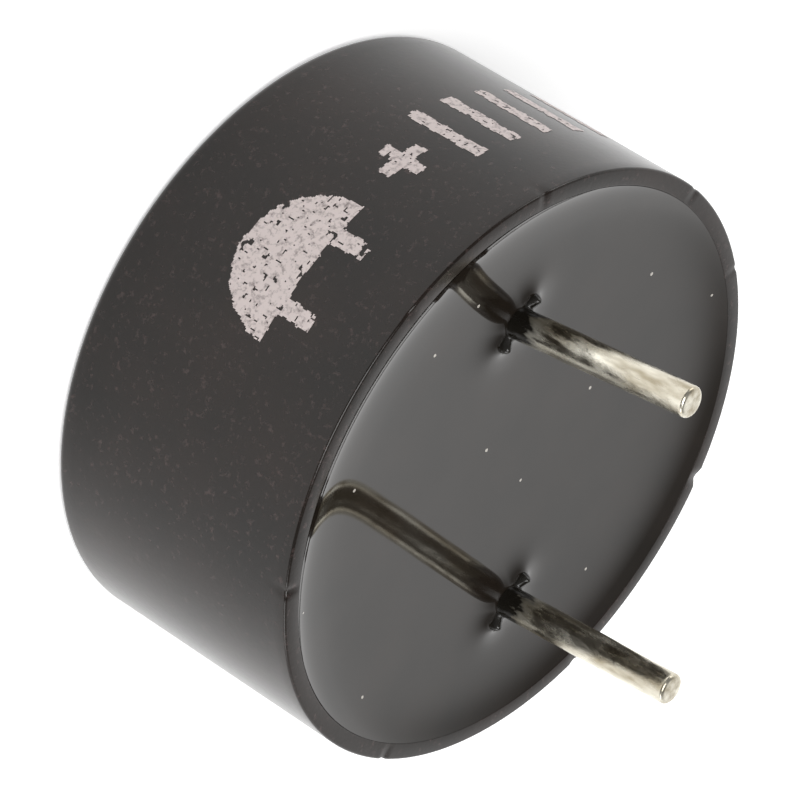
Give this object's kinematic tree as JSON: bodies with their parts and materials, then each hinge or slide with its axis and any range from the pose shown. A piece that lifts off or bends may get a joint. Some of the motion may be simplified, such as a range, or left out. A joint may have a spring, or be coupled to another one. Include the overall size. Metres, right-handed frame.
{
  "type": "piezo buzzer",
  "caption": "Short round potted piezo buzzer for a circuit board: black moulded cup with a sound hole, glossy resin in its mouth and straight tinned pins.",
  "frame": {"origin": "centre of the closed sound face, which the buzzer rests on", "axes": "+Z out of the potted end, along the pins; X along the pin row, with the positive pin at -X"},
  "size_m": [0.0138, 0.0138, 0.011],
  "materials": {
    "black_moulding": "matte moulded, dark warm black",
    "potting_resin": "glossy cast epoxy",
    "tinned_wire": "dipped tin, uneven",
    "brass_plate": "rolled",
    "piezo_ceramic": "fired ceramic",
    "fired_silver": "matt silver",
    "silicone_bead": "translucent white silicone",
    "board_laminate": "laminate",
    "board_foil": "copper foil",
    "transistor_epoxy": "moulded",
    "chip_body": "glazed",
    "plated_ends": "tin plated",
    "solder": "bright solder",
    "lead_enamel": "enamelled wire"
  },
  "bodies": {
    "root": {"housing": "black_moulding", "potting": "potting_resin", "pin_positive": "tinned_wire", "pin_negative": "tinned_wire", "diaphragm_plate": "brass_plate", "piezo_disc": "piezo_ceramic", "main_electrode": "fired_silver", "feedback_electrode": "fired_silver", "diaphragm_glue": "silicone_bead", "circuit_board": "board_laminate", "board_tracks": "board_foil", "transistor_body": "transistor_epoxy", "transistor_legs": "plated_ends", "collector_resistor": "chip_body", "bias_resistor": "chip_body", "feedback_resistor": "chip_body", "collector_resistor_ends": "plated_ends", "bias_resistor_ends": "plated_ends", "feedback_resistor_ends": "plated_ends", "chip_solder": "solder", "plate_lead": "lead_enamel", "main_lead": "lead_enamel", "feedback_lead": "lead_enamel", "plate_solder": "solder", "main_solder": "solder", "feedback_solder": "solder", "plate_pad_solder": "solder", "main_pad_solder": "solder", "feedback_pad_solder": "solder", "pin_positive_solder": "solder", "pin_negative_solder": "solder"}
  },
  "joints": []
}
